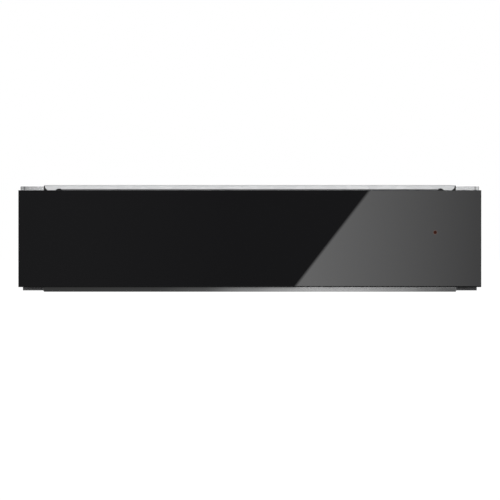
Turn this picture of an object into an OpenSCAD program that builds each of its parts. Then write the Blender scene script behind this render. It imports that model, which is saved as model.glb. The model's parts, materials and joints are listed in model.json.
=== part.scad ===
// Built-in warming drawer with a handleless black glass front.
// Frame: +Z up, the front faces -Y, X runs along the width.
// The origin is the middle of the base, half way from the glass to the back. Millimetres.

/* [Front panel] */
// Width of the glass front
front_w = 596; // [590:1:620]
// Height of the glass front
front_h = 124.8; // [118:0.1:127]
// Height of the glass front's lower edge above the base
front_z = 6; // [5:0.5:8]
// Thickness of the glass
glass_t = 5; // [4:0.5:8]
// Width of the bevel round the glass
glass_bevel = 0.6; // [0.4:0.1:2]
// Thickness of the foam tape that bonds the glass
tape_t = 1; // [0.5:0.25:2]
// Width of the foam tape
tape_w = 14; // [8:1:20]
// Depth of the steel carrier behind the glass, with its inner panel
carrier_t = 14; // [12:1:20]
// How far the carrier's edge lies inside the glass edge
carrier_inset = 3; // [2:0.5:6]
// Sheet of the carrier and of its inner panel
carrier_sheet = 1; // [0.8:0.1:1.5]
// How far the seal on the carrier stands above the glass
seal_rise = 1.5; // [0.4:0.1:1.7]
// Thickness of the seal
seal_t = 5; // [3:0.5:8]

/* [Push gap] */
// Gap between the closed front and the casing
push_gap = 5; // [4.5:0.5:8]
// How far the closed front is pressed in to release the latch
push_stroke = 3; // [2:0.5:3.5]

/* [Casing] */
// How far the front stands out beside the casing
overhang = 20; // [17:0.5:24]
// How far the cover's top stands above the glass
cover_rise = 6.7; // [5.5:0.1:9]
// Depth of the casing
casing_d = 525; // [515:1:560]
// Sheet of the casing
sheet = 1; // [0.8:0.1:1.2]
// Width of the lowered margins on the cover and the base
margin_w = 12.6; // [10.5:0.1:16]
// How much lower the margins are
margin_step = 3.4; // [3.2:0.1:4]
// How far the front stiles and the wings of the base's flange stay inside the height
edge_step = 1.7; // [1.4:0.1:1.8]
// Width of the fold that joins the casing's panels
fold_w = 14; // [12:0.5:18]
// Height of the cover's front lip
lip_h = 6.8; // [6.6:0.1:7.6]
// Height of the base's front flange
foot_h = 9.5; // [8:0.5:12]
// How far the front stile stays inside the glass edge
stile_inset = 2.5; // [1:0.5:4]
// Width of the folded hem on the front stile
hem_w = 4.4; // [3:0.1:5]
// Radius of the relief holes in the cover's lip
relief_r = 5.4; // [4.6:0.1:5.8]
// Distance from a relief hole to the end of the lip
relief_inset = 18.4; // [14:0.2:24]
// Depth of the pressed ribs
rib_d = 2.5; // [1.5:0.5:3]
// Width of the pressed ribs
rib_w = 22; // [16:1:26]
// Distance from the ribs to the ends of a panel
rib_margin = 62; // [56:1:90]
// Radius of the cabinet fixing holes
fixing_r = 2.25; // [2:0.05:3]
// Distance from the cabinet fixing holes to the casing's side
fixing_out = 8; // [6:0.5:8.5]
// Height between the two fixing holes of a stile
fixing_pitch = 92; // [80:1:96]
// Radius of a front buffer's head
buffer_r = 4.5; // [3.5:0.25:5]

/* [Runners] */
// Height of a runner
rail_h = 45; // [42:1:50]
// Thickness of a runner from the casing to the drawer
rail_w = 12.7; // [12.5:0.1:14]
// Sheet of the runner's channels
rail_sheet = 1.2; // [1:0.1:1.3]
// Distance from the end of the runners to the back of the casing
rail_back = 82; // [70:2:100]
// Length of runner that stays inside when the drawer is pulled out
rail_spare = 40; // [36:2:60]
// Height of a runner's middle line above the base
rail_z = 62; // [58:1:66]
// Radius of the balls
ball_r = 1.7; // [1.6:0.05:1.8]
// Balls in one row
ball_count = 6; // [4:1:8]
// Length of a ball cage
cage_l = 210; // [150:10:215]

/* [Drawer tray] */
// Height of the tray's floor above the base
tray_z = 22; // [21:0.5:24]
// Height from the tray's rim to the top of the cover
headroom = 25.5; // [24:0.5:32]
// Depth of the compartment that holds the controls
control_d = 40; // [40:1:46]
// Sheet of the tray
tray_sheet = 1; // [0.8:0.1:1.2]
// Width of the hem on the tray's sides
tray_hem = 6; // [5:0.5:8]
// Width of the folds on the walls across the tray
wall_fold = 8; // [6:0.5:8]
// Width of the flanges that carry the front
flange_w = 13; // [11:1:16]
// Thickness of the anti-slip mat
mat_t = 1.6; // [1:0.1:3]
// Gap from the mat to the tray's walls
mat_gap = 6; // [3:0.5:12]

/* [Controls] */
// Distance from the indicator to the glass front's right edge
lamp_from_edge = 59.4; // [40:0.2:90]
// Height of the indicator above the glass front's lower edge
lamp_up = 70.5; // [45:0.5:85]
// Radius of the indicator's lens
lens_r = 2; // [1.5:0.1:3]
// Distance from the thermostat's axis to the tray's right side
knob_from_side = 60; // [50:1:80]
// Distance from the thermostat's axis to the switch
switch_gap = 52; // [44:1:70]
// Radius of the thermostat knob
knob_r = 14; // [12:0.5:15]
// Height of the thermostat knob
knob_h = 11; // [9:0.5:12]
// Ribs round the knob
knob_ribs = 30; // [20:1:36]
// Half of the switch's swing, in degrees
rocker_tilt = 9; // [6:0.5:10]
// Length of the switch's rocker
rocker_l = 16; // [14:0.5:18]
// Width of the switch's rocker
rocker_w = 10; // [8:0.5:11]

/* [Fan and heater] */
// Width of the fan duct
duct_w = 360; // [340:5:380]
// Depth of the fan duct
duct_d = 45; // [42:1:48]
// Room behind the duct for the motor
motor_room = 39; // [36:1:50]
// Radius of the impeller
wheel_r = 33; // [28:0.5:36]
// Blades on the impeller
wheel_blades = 20; // [12:1:24]
// Radius of the fan's shaft
shaft_r = 2.5; // [2:0.25:3]
// Radius of the heating rod
rod_r = 3.2; // [2.5:0.1:4]
// Radius of the heating rod's hairpin bend
rod_bend = 16; // [13:0.5:18]
// Rings of holes in the grille
grille_rings = 5; // [3:1:5]
// Radius of a grille hole
grille_hole_r = 2; // [1.5:0.1:2.4]

/* [Latch] */
// Radius of the push latch's plunger
plunger_r = 4; // [3:0.25:5]
// Travel of the plunger
plunger_travel = 4; // [2:0.5:5]
// Wire radius of the latch's spring
spring_wire = 0.5; // [0.3:0.05:0.6]
// Turns of the latch spring
spring_turns = 7; // [5:1:8]

/* [Wiring] */
// Radius of the indicator's cable
cable_r = 1.5; // [1:0.1:2]
// Radius of that cable's bends
cable_bend = 6; // [5:0.5:8]
// Width of the wiring channel under the tray
channel_w = 24; // [16:1:30]
// Height of the wiring channel
channel_h = 4; // [3:0.5:4.5]

/* [Mains inlet] */
// Radius of the cable opening in the inlet bush
inlet_r = 4.2; // [3:0.1:5]
// Distance from the inlet to the casing's side
inlet_from_side = 50; // [46:1:56]
// Height of the inlet above the base
inlet_z = 40; // [34:1:60]

/* [Hidden] */
$fn = 64;
fit_gap = 0.2;          // clearance of pieces that are fitted into each other
run_gap = 0.05;         // radial clearance of what turns or rolls
rest_gap = 0.3;         // clearance of a moving piece from what it meets at the end of its travel
screw_r = 1.7;          // shank of the sheet metal screws
screw_head_r = 3.2;     // their pan heads
screw_head_h = 1.4;
rivet_r = 2;            // shank of the runner rivets
rivet_head_r = 3.4;
rivet_head_h = 0.9;
rivet_sink = 1;         // how much wider the flush end of a rivet is

// Stations from the glass to the back.
total_d = glass_t + tape_t + carrier_t + push_gap + casing_d;
y_glass = -total_d / 2;
y_tape = y_glass + glass_t;
y_carrier = y_tape + tape_t;
y_carrier_back = y_carrier + carrier_t;
y_inner_panel = y_carrier_back - carrier_sheet;
y_case = y_carrier_back + push_gap;
y_rear = total_d / 2;
y_panel = y_rear - screw_head_h - 0.2 - sheet;  // front face of the rear panel
y_front_wall = y_carrier_back + control_d;
y_duct_end = y_rear - motor_room;
y_duct = y_duct_end - duct_d;
y_tray_end = y_duct - tray_sheet;            // front face of the tray's rear wall

// Widths, as half widths from the middle.
half_front = front_w / 2;
half_case = half_front - overhang;
half_in = half_case - sheet;
half_plateau = half_case - margin_w;
lip_short = 1.3;                            // how far the lip ends inside the raised middle
half_lip = half_plateau - lip_short;
stile_in = half_plateau + fit_gap;
half_seal = half_lip - relief_inset - relief_r * 0.68;  // to the holes, at the height of its edge
stile_out = half_front - stile_inset;
half_foot = stile_out - 3;
lip_r = lip_h - 1.2;                        // round lower corners of the lip
relief_drop = 3;                            // from the lip's edge down to a relief hole's centre
relief_l = 40;                              // depth of the cut beside the lip, at the cover's corners
half_tray = half_in - rail_w;
half_tray_in = half_tray - tray_sheet;
half_carrier = half_front - carrier_inset;
margin_mid = half_plateau + margin_w / 2;
fold_mid = half_in - fold_w / 2;

// Heights.
glass_top = front_z + front_h;
casing_h = glass_top + cover_rise;
carrier_z0 = front_z + carrier_inset;
carrier_z1 = glass_top - carrier_inset;
margin_z0 = margin_step;                    // underside of the base's margins
margin_z1 = casing_h - margin_step;         // top of the cover's margins
edge_z0 = edge_step;                        // underside of the base flange's wings
edge_z1 = casing_h - edge_step;             // top of the front stiles
wall_z0 = margin_z0 + sheet;
wall_z1 = margin_z1 - sheet;
stile_z0 = foot_h + fit_gap;
tray_floor = tray_z + tray_sheet;
tray_top = casing_h - headroom;
tray_rim = tray_top - tray_sheet;           // underside of the hems
wall_step = tray_rim - 3 - fit_gap;         // where the walls across the tray pass the hems
wall_side = half_tray_in - fit_gap;
wall_half = half_tray - tray_hem - fit_gap;
panel_fold = 7;
window_z0 = rail_z - rail_h / 2 - 1.5;      // opening in the stiles for the runners
window_z1 = rail_z + rail_h / 2 + 1.5;
buffer_x = half_in - buffer_r - 1;
buffer_stem_r = 2.4;
buffer_barb = 3;
buffer_out = push_gap - push_stroke - rest_gap;
buffer_z = [wall_z0 + 21, wall_z1 - 31];
fixing_x = half_case + fixing_out;
fixing_z = [casing_h / 2 - fixing_pitch / 2, casing_h / 2 + fixing_pitch / 2];

mat_edge = half_tray_in - mat_gap;
ridge_h = 0.5;

// Places of the screws in the casing.
case_screw_y = [y_case + 45, (y_case + y_panel) / 2, y_panel - 45];
rear_screw_z = [wall_z0 + 16, casing_h / 2, wall_z1 - 16];

// Pressed ribs of the casing, as [x, y, length, width].
case_mid_y = (y_case + y_panel) / 2;
plate_l = y_panel - y_case;
rib_l = plate_l - 2 * rib_margin;
cover_ribs = [for (i = [-2 : 2]) [i * half_plateau * 0.36, case_mid_y - 16, rib_l, rib_w]];
base_ribs = [for (i = [-2, -1, 1, 2]) [i * half_plateau * 0.36, case_mid_y - 6, rib_l, rib_w]];
side_rib_z = [(wall_z0 + window_z0) / 2 + 1, (wall_z1 + window_z1) / 2];
side_rib_w = 12;
slot_w = 4;
vent_pitch = 10;
vent_l = 24;

// Runner channels, in a profile that starts at the casing's wall.
race_gap = 3;                               // between two channels, where a ball runs
member_step = 1;                            // between the webs of the outer and middle channels
lip_gap = 0.6;                              // over the edge of the channel inside
outer_w = rail_w - 1.9;
middle_u0 = rail_sheet + member_step;
middle_u1 = rail_w - 1.5;
inner_u0 = middle_u0 + rail_sheet + 1.4;
outer_v = rail_h / 2;
middle_v = outer_v - rail_sheet - race_gap;
inner_v = middle_v - rail_sheet - race_gap;
outer_ball = [rail_w / 2 - 0.5, middle_v + race_gap / 2];
inner_ball = [rail_w / 2 + 0.8, inner_v + race_gap / 2];
cage_sheet = 0.4;
rail_y0 = y_case + 3;
rail_l = y_rear - rail_back - rail_y0;
travel = rail_l - rail_spare;
rivet_y = [rail_y0 + rail_l * 0.085, rail_y0 + rail_l / 2, rail_y0 + rail_l * 0.855];
stop_l = 2;                                 // tabs that stop the cages at the channels' ends
cage_y0 = rail_y0 + 2 * stop_l + travel / 4;
ball_pitch = (cage_l - 20) / (ball_count - 1);

// Controls.
knob_x = half_tray - knob_from_side;
switch_x = knob_x - switch_gap;
control_y = y_carrier_back + control_d / 2 - 3;
panel_top = tray_top;
lamp_x = half_front - lamp_from_edge;
lamp_z = front_z + lamp_up;
lamp_l = 7;
lamp_seat_r = lens_r + 1.2;
lamp_body_r = lens_r + 3;
spindle_r = 3;
neck_r = 4;                                 // neck of the thermostat in the panel
thermostat_r = 13;
thermostat_h = 20;
knob_z0 = panel_top + 2;
switch_frame_w = 3;                         // rim of the switch round the rocker
switch_depth = 18;
switch_tab = 5;                             // spacing of the switch's terminals
tab_l = 7;
rocker_pin_r = 1.2;
rocker_z = panel_top - 1.5;

// Fan and heater.
duct_z0 = tray_floor + 4;
duct_z1 = tray_rim - 3;
fan_z = (duct_z0 + duct_z1) / 2;
wheel_y0 = y_duct + 14;
wheel_y1 = y_duct_end - 5;
blade_w = 10;
blade_r = 8;
blade_t = 0.8;
hub_r = 5.5;
motor_y = y_duct_end + sheet;               // front face of the motor's front bracket
motor_half = 21;
bracket_t = 2;
bracket_half_h = 5;
motor_bush_r = 6;
core_y = motor_y + bracket_t + 4;
core_t = 10;
rotor_r = 12;
coil_window_z = fan_z - rotor_r - 4;         // top of the window that the coil passes
leg_h = 6;
leg_z = coil_window_z - 9 - leg_h;
coil_half = 12;
coil_t = 4;
rod_y = y_duct + duct_d / 2;
rod_x0 = wheel_r + 24;
rod_x1 = duct_w / 2 - rod_bend - rod_r - 8;
rod_elbow = 9;
heater_slot_l = 44;                         // air slots in front of the heating rods

// Push latch, under the tray.
striker_w = 22;
striker_t = 1.5;
striker_y1 = y_tray_end - 2;                // back face of the striker
latch_gap = push_stroke + rest_gap;
plunger_y0 = striker_y1 + latch_gap;
plunger_out = 3 + plunger_travel;           // how far the plunger stands out of its housing
latch_y0 = plunger_y0 + plunger_out;
latch_l = 48;
latch_w = 26;
latch_h = tray_z - sheet - 5;
plunger_l = plunger_out + 26;
latch_z = sheet + latch_h / 2;

// Wiring and mains inlet.
channel_x = half_tray * 0.45;
wire_hole_r = 6;
inlet_x = half_case - inlet_from_side;
bush_wall = 3;
bush_flange = 3;
bush_l = 12;
box_w = 46;
box_h = 50;
box_d = 26;
box_wall = 2;
terminal_rise = 46;                         // from the inlet up to the terminal box's middle

// Shapes that repeat ---------------------------------------------------------------------

// A block between two corners.
module block(x0, x1, y0, y1, z0, z1)
    translate([x0, y0, z0]) cube([x1 - x0, y1 - y0, z1 - z0]);

// The children and their mirror image across the middle of the drawer.
module both() {
    children();
    mirror([1, 0, 0]) children();
}

// A flat outline drawn in X and Z, given depth from y0 to y1.
module along_y(y0, y1)
    translate([0, y1, 0]) rotate([90, 0, 0]) linear_extrude(y1 - y0) children();

// A rectangle between two corners.
module rect(x0, x1, y0, y1)
    translate([x0, y0]) square([x1 - x0, y1 - y0]);

// A slot with round ends that runs along the second axis.
module slot_2d(l, w) {
    square([w, l - w], center = true);
    for (s = [-1, 1]) translate([0, s * (l - w) / 2]) circle(d = w);
}

// A rounded rectangle between two corners.
module round_rect(x0, x1, y0, y1, r) {
    rect(x0 + r, x1 - r, y0, y1);
    rect(x0, x1, y0 + r, y1 - r);
    for (x = [x0 + r, x1 - r], y = [y0 + r, y1 - r]) translate([x, y]) circle(r);
}

// A cup pressed downwards out of a sheet that lies on z = 0.
module pressed_rib(l, w, t) difference() {
    translate([0, 0, -rib_d]) linear_extrude(rib_d + t) slot_2d(l, w);
    translate([0, 0, t - rib_d]) linear_extrude(rib_d + t) slot_2d(l - 2 * t, w - 2 * t);
}

// The opening that a pressed rib leaves in its sheet.
module rib_opening(l, w, t)
    translate([0, 0, -t]) linear_extrude(3 * t) slot_2d(l - 2 * t, w - 2 * t);

// A cylinder along Y that starts at y0.
module rod_y(x, y0, y1, z, r)
    translate([x, y1, z]) rotate([90, 0, 0]) cylinder(y1 - y0, r, r);

// A cylinder along X.
module rod_x(x0, x1, y, z, r)
    translate([x0, y, z]) rotate([0, 90, 0]) cylinder(x1 - x0, r, r);

// A pan head screw whose head stands on z = 0, with its shank below.
module screw(l) {
    difference() {
        union() {
            cylinder(screw_head_h * 0.5, screw_head_r, screw_head_r);
            translate([0, 0, screw_head_h * 0.5])
                cylinder(screw_head_h * 0.5, screw_head_r, screw_head_r * 0.72);
        }
        for (a = [0, 90]) rotate(a)
            translate([-screw_head_r * 0.55, -0.35, screw_head_h * 0.4])
                cube([screw_head_r * 1.1, 0.7, screw_head_h]);
    }
    translate([0, 0, -l]) cylinder(l, screw_r, screw_r);
}

// The hole that a screw goes through, down from z = 0.
module screw_hole(l)
    translate([0, 0, -l]) cylinder(2 * l, screw_r + 0.1, screw_r + 0.1);

// Casing ---------------------------------------------------------------------------------

// Cross-section of the cover: a raised middle with lowered margins. The base is its mirror image.
module plateau_section(z1) {
    rect(-half_plateau, half_plateau, z1 - sheet, z1);
    both() {
        rect(half_plateau - sheet, half_plateau, z1 - margin_step - sheet, z1);
        rect(half_plateau - sheet, half_case, z1 - margin_step - sheet, z1 - margin_step);
    }
}

// Lip in front of the cover, with round ends and a relief hole near each of them.
module cover_lip_2d() difference() {
    union() {
        rect(lip_r - half_lip, half_lip - lip_r, casing_h - lip_h, casing_h);
        both() {
            rect(half_lip - lip_r - 1, half_lip, casing_h - lip_h + lip_r, casing_h);
            intersection() {
                translate([half_lip - lip_r, casing_h - lip_h + lip_r]) circle(lip_r);
                rect(half_lip - lip_r - 1, half_lip, casing_h - lip_h, casing_h - lip_h + lip_r + 0.1);
            }
        }
    }
    both() translate([half_lip - relief_inset, casing_h - lip_h - relief_drop]) circle(relief_r);
}

module cover_screws_at() both()
    for (y = case_screw_y) translate([margin_mid, y, margin_z1]) children();

module base_screws_at() both()
    for (y = case_screw_y) translate([margin_mid, y, margin_z0]) mirror([0, 0, 1]) children();

module rear_screws_at() both()
    for (z = rear_screw_z) translate([fold_mid, y_panel + sheet, z]) rotate([-90, 0, 0]) children();

// Rows of air slots, centred on the children's origin.
module vent_slots(count, l)
    for (i = [0 : count - 1]) translate([(i - (count - 1) / 2) * vent_pitch, 0]) slot_2d(l, slot_w);

module top_cover() color("gainsboro") {
    difference() {
        union() {
            along_y(y_case + sheet, y_rear) plateau_section(casing_h);
            along_y(y_case, y_case + sheet) cover_lip_2d();
        }
        for (r = cover_ribs) translate([r[0], r[1], casing_h - sheet]) rib_opening(r[2], r[3], sheet);
        both() block(half_plateau - sheet - 0.01, stile_in + 1, y_case + sheet - 0.01, y_case + relief_l,
            margin_z1 - 2 * sheet, casing_h - sheet);
        cover_screws_at() screw_hole(3 * sheet);
        both() translate([half_plateau * 0.55, y_panel - vent_l - 4, casing_h - 2 * sheet])
            linear_extrude(3 * sheet) vent_slots(12, vent_l);
    }
    for (r = cover_ribs) translate([r[0], r[1], casing_h - sheet]) pressed_rib(r[2], r[3], sheet);
}

// Front flange of the base: its middle steps down to the surface with sloping ends.
module base_flange_2d() polygon([
    [-half_foot, edge_z0], [-half_plateau - 1, edge_z0], [0.5 - half_plateau, 0],
    [half_plateau - 0.5, 0], [half_plateau + 1, edge_z0], [half_foot, edge_z0],
    [half_foot, foot_h], [-half_foot, foot_h]
]);

module base_pan() color("dimgray") {
    difference() {
        union() {
            along_y(y_case + sheet, y_rear) mirror([0, 1]) plateau_section(0);
            along_y(y_case, y_case + sheet) base_flange_2d();
        }
        for (r = base_ribs) translate([r[0], r[1], 0]) rib_opening(r[2], r[3], sheet);
        base_screws_at() screw_hole(3 * sheet);
        both() translate([half_plateau * 0.54, y_panel - vent_l - 2, -sheet])
            linear_extrude(3 * sheet) vent_slots(6, vent_l);
        latch_screws_at() screw_hole(3 * sheet);
    }
    for (r = base_ribs) translate([r[0], r[1], sheet]) mirror([0, 0, 1]) pressed_rib(r[2], r[3], sheet);
}

// The right side panel, with the folds that its neighbours are screwed to.
module side_panel() difference() {
    union() {
        difference() {
            block(half_in, half_case, y_case + sheet, y_rear, wall_z0, wall_z1);
            for (z = side_rib_z) side_rib_at(z) rib_opening(rib_l, side_rib_w, sheet);
        }
        for (z = side_rib_z) side_rib_at(z) pressed_rib(rib_l, side_rib_w, sheet);
        block(half_in - fold_w, half_in, y_case + sheet, y_panel, wall_z0, wall_z0 + sheet);
        block(half_in - fold_w, half_in, y_case + relief_l, y_panel, wall_z1 - sheet, wall_z1);
        block(half_in - fold_w, half_in, y_panel - sheet, y_panel, wall_z0, wall_z1);
        for (z = [[wall_z0, window_z0], [window_z1, wall_z1]])
            block(stile_in + 1, half_in, y_case + sheet, y_case + 2 * sheet, z[0], z[1]);
    }
    for (z = buffer_z) rod_y(buffer_x, y_case, y_case + 3 * sheet, z, buffer_stem_r + 0.1);
    cover_screws_at() screw_hole(3 * sheet);
    base_screws_at() screw_hole(3 * sheet);
    rear_screws_at() screw_hole(3 * sheet);
    for (y = rivet_y) rod_x(half_in - sheet, half_case + sheet, y, rail_z, rivet_r + 0.1);
}

module side_rib_at(z)
    translate([half_in, case_mid_y, z]) rotate([0, 90, 0]) children();

module right_side_panel() color("silver") side_panel();
module left_side_panel() color("silver") mirror([1, 0, 0]) side_panel();

module rear_panel() color("silver") difference() {
    along_y(y_panel, y_panel + sheet) difference() {
        union() {
            rect(fit_gap - half_in, half_in - fit_gap, wall_z0 + fit_gap, wall_z1 - fit_gap);
            rect(sheet + fit_gap - half_plateau, half_plateau - sheet - fit_gap,
                sheet + fit_gap, casing_h - sheet - fit_gap);
        }
        for (z = [casing_h * 0.36, casing_h * 0.68])
            translate([-half_plateau * 0.42, z]) vent_slots(14, 30);
        translate([inlet_x, inlet_z]) circle(inlet_r + bush_wall + fit_gap);
    }
    rear_screws_at() screw_hole(3 * sheet);
    terminal_screws_at() screw_hole(3 * sheet);
}

// The right front stile: hemmed outside, cut out for the runner, with the cabinet fixing holes.
module front_stile() difference() {
    union() {
        block(stile_in, stile_out, y_case, y_case + sheet, stile_z0, edge_z1);
        block(stile_out - hem_w, stile_out, y_case, y_case + 2 * sheet, stile_z0, edge_z1);
    }
    block(stile_out - hem_w - 1.2, stile_out - hem_w, y_case - 1, y_case + sheet / 2, 0, casing_h);
    block(stile_in - 1, half_in, y_case - 1, y_case + 3 * sheet, window_z0, window_z1);
    for (z = fixing_z) rod_y(fixing_x, y_case - 1, y_case + 3 * sheet, z, fixing_r);
    for (z = buffer_z) rod_y(buffer_x, y_case - 1, y_case + 3 * sheet, z, buffer_stem_r + 0.1);
}

module right_front_stile() color("lightgray") front_stile();
module left_front_stile() color("lightgray") mirror([1, 0, 0]) front_stile();

// Rubber buffers that the pressed front meets at the end of its stroke.
module front_buffers() color("black") both() for (z = buffer_z) {
    rod_y(buffer_x, y_case - buffer_out, y_case, z, buffer_r);
    rod_y(buffer_x, y_case, y_case + 2 * sheet + rest_gap, z, buffer_stem_r);
    translate([buffer_x, y_case + 2 * sheet + rest_gap, z]) rotate([-90, 0, 0])
        cylinder(buffer_barb, buffer_stem_r + rest_gap, buffer_stem_r / 2);
}

module casing_screws() color("silver") {
    cover_screws_at() screw(2 * sheet + 3);
    base_screws_at() screw(2 * sheet + 3);
    rear_screws_at() screw(2 * sheet + 3);
    terminal_screws_at() screw(sheet + 4);
}

// Runners --------------------------------------------------------------------------------

// From the right runner's profile, drawn from the casing wall inwards, to its place.
module runner(y0, y1) translate([half_in, 0, rail_z]) mirror([1, 0, 0]) along_y(y0, y1) children();

// A channel from u0 to u1, open at mouth_u over a half height of mouth_v, grooved for the balls.
module channel_2d(u0, u1, v, mouth_u, mouth_v, balls) difference() {
    rect(u0, u1, -v, v);
    rect(u0 + rail_sheet, u1 - rail_sheet, rail_sheet - v, v - rail_sheet);
    rect(mouth_u - 1.5 * rail_sheet, mouth_u + 1.5 * rail_sheet, -mouth_v, mouth_v);
    for (b = balls, s = [-1, 1]) translate([b[0], s * b[1]]) circle(ball_r + run_gap);
}

// Tabs across both rows of balls, at the two ends of the channel that carries them.
module cage_stops(y0, y1, ball) for (y = [y0, y1 - stop_l])
    runner(y, y + stop_l) for (s = [-1, 1]) translate([ball[0], s * (ball[1] + rest_gap)])
        square([2 * ball_r, race_gap], center = true);

module outer_member() difference() {
    union() {
        runner(rail_y0, rail_y0 + rail_l)
            channel_2d(0, outer_w, outer_v, outer_w, middle_v + lip_gap, [outer_ball]);
        cage_stops(rail_y0, rail_y0 + rail_l, outer_ball);
    }
    for (y = rivet_y) translate([half_in, y, rail_z]) rotate([0, -90, 0])
        cylinder(rail_sheet, rivet_r + 0.1, rivet_r + rivet_sink + 0.1);
}

module middle_member() {
    runner(rail_y0 + 1, rail_y0 + rail_l - 1)
        channel_2d(middle_u0, middle_u1, middle_v, middle_u1, inner_v + lip_gap, [outer_ball, inner_ball]);
    cage_stops(rail_y0 + 1, rail_y0 + rail_l - 1, inner_ball);
}

module inner_member() difference() {
    runner(rail_y0 + 1, rail_y0 + rail_l - 6)
        channel_2d(inner_u0, rail_w, inner_v, inner_u0, inner_v - rail_sheet, [inner_ball]);
    drawer_rivets_at() translate([0, 0, -tray_sheet - rail_sheet])
        cylinder(rail_sheet, rivet_r + rivet_sink + 0.1, rivet_r + 0.1);
}

// A ball cage: a thin channel whose two strips are pierced for the balls.
module ball_cage(ball, web_u, strip_u1) difference() {
    runner(cage_y0, cage_y0 + cage_l) difference() {
        rect(web_u, strip_u1, -ball[1] - cage_sheet, ball[1] + cage_sheet);
        rect(web_u + cage_sheet, strip_u1 + 1, cage_sheet - ball[1], ball[1] - cage_sheet);
    }
    balls_at(ball) cylinder(4 * cage_sheet, ball_r + 0.1, ball_r + 0.1, center = true);
}

module balls_at(ball) for (i = [0 : ball_count - 1], s = [-1, 1])
    translate([half_in - ball[0], cage_y0 + 10 + i * ball_pitch, rail_z + s * ball[1]]) children();

module outer_cage() ball_cage(outer_ball, rail_sheet + 0.3, outer_w - rail_sheet - 0.4);
module inner_cage() ball_cage(inner_ball, middle_u0 + rail_sheet + 0.4, middle_u1 - rail_sheet - 0.4);

module right_outer_runner() color("slategray") outer_member();
module left_outer_runner() color("slategray") mirror([1, 0, 0]) outer_member();
module right_middle_runner() color("silver") middle_member();
module left_middle_runner() color("silver") mirror([1, 0, 0]) middle_member();
module right_inner_runner() color("lightgray") inner_member();
module left_inner_runner() color("lightgray") mirror([1, 0, 0]) inner_member();
module right_outer_ball_cage() color("gray") outer_cage();
module left_outer_ball_cage() color("gray") mirror([1, 0, 0]) outer_cage();
module right_inner_ball_cage() color("gray") inner_cage();
module left_inner_ball_cage() color("gray") mirror([1, 0, 0]) inner_cage();
module right_outer_balls() color("white") balls_at(outer_ball) sphere(ball_r);
module left_outer_balls() color("white") mirror([1, 0, 0]) balls_at(outer_ball) sphere(ball_r);
module right_inner_balls() color("white") balls_at(inner_ball) sphere(ball_r);
module left_inner_balls() color("white") mirror([1, 0, 0]) balls_at(inner_ball) sphere(ball_r);

// Rivets that hold the outer channels, flush inside and domed outside the casing.
module runner_rivets() color("gray") both() for (y = rivet_y)
    translate([half_in - rail_sheet, y, rail_z]) rotate([0, 90, 0]) {
        cylinder(rail_sheet, rivet_r + rivet_sink, rivet_r);
        cylinder(rail_sheet + sheet, rivet_r, rivet_r);
        translate([0, 0, rail_sheet + sheet]) cylinder(rivet_head_h, rivet_head_r, rivet_head_r - 1);
    }

// Front of the drawer --------------------------------------------------------------------

// The glass: a pane with bevelled edges and a hole for the indicator.
module front_glass() color("#101012") difference() {
    intersection() {
        translate([0, 0, front_z - 1]) linear_extrude(front_h + 2) polygon([
            [-half_front, y_tape], [-half_front, y_glass + glass_bevel],
            [glass_bevel - half_front, y_glass], [half_front - glass_bevel, y_glass],
            [half_front, y_glass + glass_bevel], [half_front, y_tape]
        ]);
        translate([-half_front - 1, 0, 0]) rotate([90, 0, 90]) linear_extrude(front_w + 2) polygon([
            [y_tape, front_z], [y_glass + glass_bevel, front_z], [y_glass, front_z + glass_bevel],
            [y_glass, glass_top - glass_bevel], [y_glass + glass_bevel, glass_top], [y_tape, glass_top]
        ]);
    }
    rod_y(lamp_x, y_glass - 1, y_tape + 1, lamp_z, lens_r + run_gap);
}

module bonding_tape() color("black") for (z = [carrier_z0 + 2, carrier_z1 - 2 - tape_w])
    block(6 - half_carrier, half_carrier - 6, y_tape, y_carrier, z, z + tape_w);

// The steel pan behind the glass.
module front_carrier() color("#3a3b3d") difference() {
    block(-half_carrier, half_carrier, y_carrier, y_inner_panel, carrier_z0, carrier_z1);
    block(carrier_sheet - half_carrier, half_carrier - carrier_sheet, y_carrier + carrier_sheet, y_rear,
        carrier_z0 + carrier_sheet, carrier_z1 - carrier_sheet);
    rod_y(lamp_x, y_carrier - 1, y_carrier + 2, lamp_z, lamp_seat_r + 0.1);
}

module front_inner_panel() color("silver") difference() {
    block(-half_carrier, half_carrier, y_inner_panel, y_carrier_back, carrier_z0, carrier_z1);
    tray_flange_screws_at() screw_hole(3 * carrier_sheet);
    rod_y(lamp_x, y_inner_panel - 1, y_carrier_back + 1, lamp_z, cable_r + 0.1);
}

// Rubber seal along the top of the carrier, its edge just above the glass.
module front_seal() color("#2f3032")
    block(-half_seal, half_seal, y_inner_panel - seal_t, y_inner_panel, carrier_z1, glass_top + seal_rise);

module indicator_lens() color("#7a1c10") {
    rod_y(lamp_x, y_glass + 0.2, y_carrier + carrier_sheet, lamp_z, lens_r);
    rod_y(lamp_x, y_tape + 0.1, y_carrier + carrier_sheet + 1, lamp_z, lamp_seat_r - 0.1);
}

module indicator_lamp() color("ivory") difference() {
    rod_y(lamp_x, y_carrier + carrier_sheet, y_carrier + carrier_sheet + lamp_l, lamp_z, lamp_body_r);
    rod_y(lamp_x, y_carrier, y_carrier + carrier_sheet + 1 + fit_gap, lamp_z, lamp_seat_r);
}

// Cable from the lamp through the inner panel, across the compartment and up to the switch.
cable_x = switch_x + switch_tab + cable_bend;
module indicator_cable() color("#4a4a4c") {
    rod_y(lamp_x, y_carrier + carrier_sheet + lamp_l, control_y - cable_bend, lamp_z, cable_r);
    translate([lamp_x - cable_bend, control_y - cable_bend, lamp_z]) bend(cable_bend, 90, cable_r);
    rod_x(cable_x, lamp_x - cable_bend, control_y, lamp_z, cable_r);
    translate([cable_x, control_y, lamp_z + cable_bend]) rotate([90, 0, 0]) rotate(180)
        bend(cable_bend, 90, cable_r);
    translate([switch_x + switch_tab, control_y, lamp_z + cable_bend])
        cylinder(panel_top - switch_depth - tab_l - lamp_z - cable_bend, cable_r, cable_r);
}

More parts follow.
